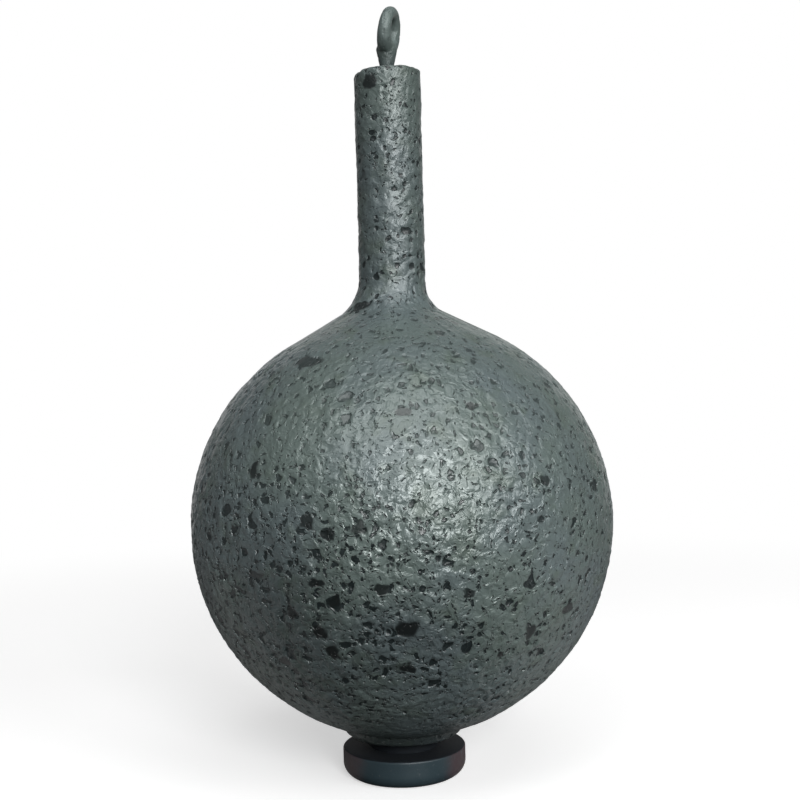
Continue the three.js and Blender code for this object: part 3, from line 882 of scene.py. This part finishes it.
def turned_metal(name, bright, dull):
    """Metal with faint tool marks round the vertical axis."""
    made, shader, pattern, place = new_material(name, Metallic=1.0)
    rings = pattern.noise(pattern.vector("MULTIPLY", place, TOOL_MARK_SQUEEZE), *TOOL_MARK_NOISE)
    cloud = pattern.noise(place, *METAL_NOISE)
    pattern.put(shader.inputs["Base Color"], pattern.mixed(cloud, bright, dull))
    pattern.put(shader.inputs["Roughness"], pattern.ranged(rings, *METAL_ROUGHNESS))
    height = pattern.math("MULTIPLY", rings, TOOL_MARK_HEIGHT)
    pattern.put(shader.inputs["Normal"], pattern.bump(height))
    return made


# Pieces, with their bodies, slots and the nodes that they replace

body = body_skin()
coat = coat_material("coat", bumps=1.0, bareness=1.0, smooth=0.32, dull=0.41)
body.data.materials.append(coat)
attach(body, "sinker")
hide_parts("sinker_body")

eye = eye_skin()
coat = coat_material("eye_coat", bumps=0.25, bareness=0.2, smooth=0.45, dull=0.55)
eye.data.materials.append(coat)
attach(eye, "eye")
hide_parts("swivel_eye")

foot = foot_skin()
foot.data.materials.append(rubber_material())
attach(foot, "sinker")
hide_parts("foot_pad")

brass = turned_metal("brass", linear(205, 178, 112), linear(170, 140, 80))
steel = turned_metal("steel", linear(190, 192, 196), linear(150, 152, 156))
for node_name, metal in (
    ("swivel_barrel", brass),
    ("threaded_insert", brass),
    ("anchor_eye", steel),
    ("foot_stud", steel),
):
    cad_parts[node_name].material_slots[0].material = metal

# Stage: floor, far studio, camera and lamps

WORLD_GREY = 0.05  # as a lamp
ROOM_GREY = 0.12  # in a reflection
BACKDROP_EDGE = (0.75, 0.92)  # cosines from straight behind the object
FLOOR_HALF_WIDTH = 1.5  # metres
FLOOR_NEAR = 60.0  # out to here the floor is lit as it stands
FLOOR_FAR = 150.0  # from here it is plain white
FLOOR_WHITE = 0.85  # to the camera
FLOOR_PALE = 0.06  # in a reflection, in front of the object and behind it
FLOOR_SIDE_PALE = 0.6  # and at its sides
FLOOR_SIDE_EDGE = (0.7, 0.97)  # cosines from straight to the left or right
FLOOR_GREY = 0.08  # as a lamp
FLOOR_LIFT = 0.55  # white that the camera sees in the floor besides the lamps' light


def studio_shade(pattern, way):
    """What stands far off in the direction way: white to the camera, and in a reflection the
    white backdrop behind the object and the grey room at its sides. Also 1 for such rays."""
    path = pattern.node("ShaderNodeLightPath").outputs
    mirrored = pattern.math("ADD", path["Is Glossy Ray"], path["Is Transmission Ray"], clamp=True)
    backdrop = pattern.step(pattern.parts_of(way)[1], *BACKDROP_EDGE)
    shade = pattern.mixed(backdrop, grey(ROOM_GREY), grey(1.0))
    shade = pattern.mixed(path["Is Camera Ray"], shade, grey(1.0))
    return shade, pattern.math("ADD", mirrored, path["Is Camera Ray"], clamp=True)


def floor_material():
    """White where the camera sees it, with the shadow near the object, and a plain grey in
    the light that it gives back."""
    made, shader, pattern, place = new_material("floor", Roughness=0.9)
    tree = made.node_tree
    way = pattern.node("ShaderNodeVectorMath", {0: place}, operation="NORMALIZE").outputs[0]
    shade, seen = studio_shade(pattern, way)
    camera = pattern.node("ShaderNodeLightPath").outputs["Is Camera Ray"]
    aside = pattern.step(pattern.math("ABSOLUTE", pattern.parts_of(way)[0]), *FLOOR_SIDE_EDGE)
    pale = pattern.mixed(aside, grey(FLOOR_PALE), grey(FLOOR_SIDE_PALE))
    colour = pattern.mixed(seen, grey(FLOOR_GREY), pale)
    colour = pattern.mixed(camera, colour, grey(FLOOR_WHITE))
    pattern.put(shader.inputs["Base Color"], colour)
    strength = pattern.math("MULTIPLY", camera, FLOOR_LIFT)
    lift = pattern.node("ShaderNodeEmission", {"Strength": strength})
    near = pattern.node("ShaderNodeAddShader", {0: shader.outputs[0], 1: lift.outputs[0]})
    far = pattern.node("ShaderNodeEmission", {"Color": shade, "Strength": 1.0})
    away = pattern.node("ShaderNodeVectorMath", {0: place}, operation="LENGTH").outputs["Value"]
    fade = pattern.math("MULTIPLY", pattern.step(away, FLOOR_NEAR, FLOOR_FAR), seen)
    mix = pattern.node("ShaderNodeMixShader", {0: fade, 1: near.outputs[0], 2: far.outputs[0]})
    tree.links.new(mix.outputs[0], tree.nodes["Material Output"].inputs["Surface"])
    return made


def add_floor(half_width):
    mesh = bpy.data.meshes.new("floor")
    corners = [(-1, -1, 0), (1, -1, 0), (1, 1, 0), (-1, 1, 0)]
    mesh.from_pydata([tuple(half_width * c for c in p) for p in corners], [], [(0, 1, 2, 3)])
    floor = bpy.data.objects.new("floor", mesh)
    bpy.context.scene.collection.objects.link(floor)
    mesh.materials.append(floor_material())


def add_lamp(name, place, aim, size, watts):
    lamp = bpy.data.objects.new(name, bpy.data.lights.new(name, "AREA"))
    bpy.context.scene.collection.objects.link(lamp)
    lamp.data.shape = "DISK"
    lamp.data.size = size
    lamp.data.energy = watts
    lamp.location = place
    lamp.rotation_euler = (Vector(aim) - Vector(place)).to_track_quat("-Z", "Y").to_euler()


CAMERA_SENSOR = 36.0
CAMERA_LENS = 55.35
CAMERA_CLIP = (0.001, 10.0)  # metres
CAMERA_PLACE = (0.37, -100.2, 32.9)
CAMERA_PITCH_DEG = -1.4
CAMERA_ROLL_DEG = -1.46


def add_camera():
    camera = bpy.data.objects.new("camera", bpy.data.cameras.new("camera"))
    bpy.context.scene.collection.objects.link(camera)
    camera.data.sensor_width = CAMERA_SENSOR
    camera.data.lens = CAMERA_LENS
    camera.data.clip_start, camera.data.clip_end = CAMERA_CLIP
    camera.location = Vector(CAMERA_PLACE) * MM
    look = Euler((math.radians(90 + CAMERA_PITCH_DEG), 0, 0)).to_matrix()
    roll = Matrix.Rotation(math.radians(CAMERA_ROLL_DEG), 3, "Z")
    camera.rotation_euler = (look @ roll).to_euler()
    bpy.context.scene.camera = camera


# Lamps: place round the object's middle in degrees, from the front to the right and upwards,
# width in metres, and power in watts.
MIDDLE = (0, 0, 0.03)
LAMP_DISTANCE = 0.4
LAMPS = {
    "top": dict(azimuth=25, elevation=65, size=0.25, watts=0.34),
    "front": dict(azimuth=15, elevation=19, size=0.14, watts=0.88),
    "right": dict(azimuth=48, elevation=26, size=0.2, watts=0.44),
    "left": dict(azimuth=-25, elevation=50, size=0.2, watts=0.3),
}


def lamp_place(azimuth, elevation, distance):
    """A place seen from the middle of the object: azimuth from the front to the right."""
    a, e = math.radians(azimuth), math.radians(elevation)
    back = Vector((math.sin(a) * math.cos(e), -math.cos(a) * math.cos(e), math.sin(e)))
    return Vector(MIDDLE) + distance * back


def studio_world():
    """White where it is seen, and hardly a lamp."""
    world = bpy.data.worlds.new("studio")
    bpy.context.scene.world = world
    world.use_nodes = True
    pattern = Pattern(world.node_tree)
    way = pattern.node("ShaderNodeTexCoord").outputs["Generated"]
    shade, seen = studio_shade(pattern, way)
    colour = pattern.mixed(seen, grey(WORLD_GREY), shade)
    pattern.put(world.node_tree.nodes["Background"].inputs["Color"], colour)


add_floor(FLOOR_HALF_WIDTH)
add_camera()
for lamp_name, lamp in LAMPS.items():
    spot = lamp_place(lamp["azimuth"], lamp["elevation"], LAMP_DISTANCE)
    add_lamp(lamp_name, spot, MIDDLE, lamp["size"], lamp["watts"])
studio_world()
bpy.context.scene.view_settings.view_transform = "Standard"
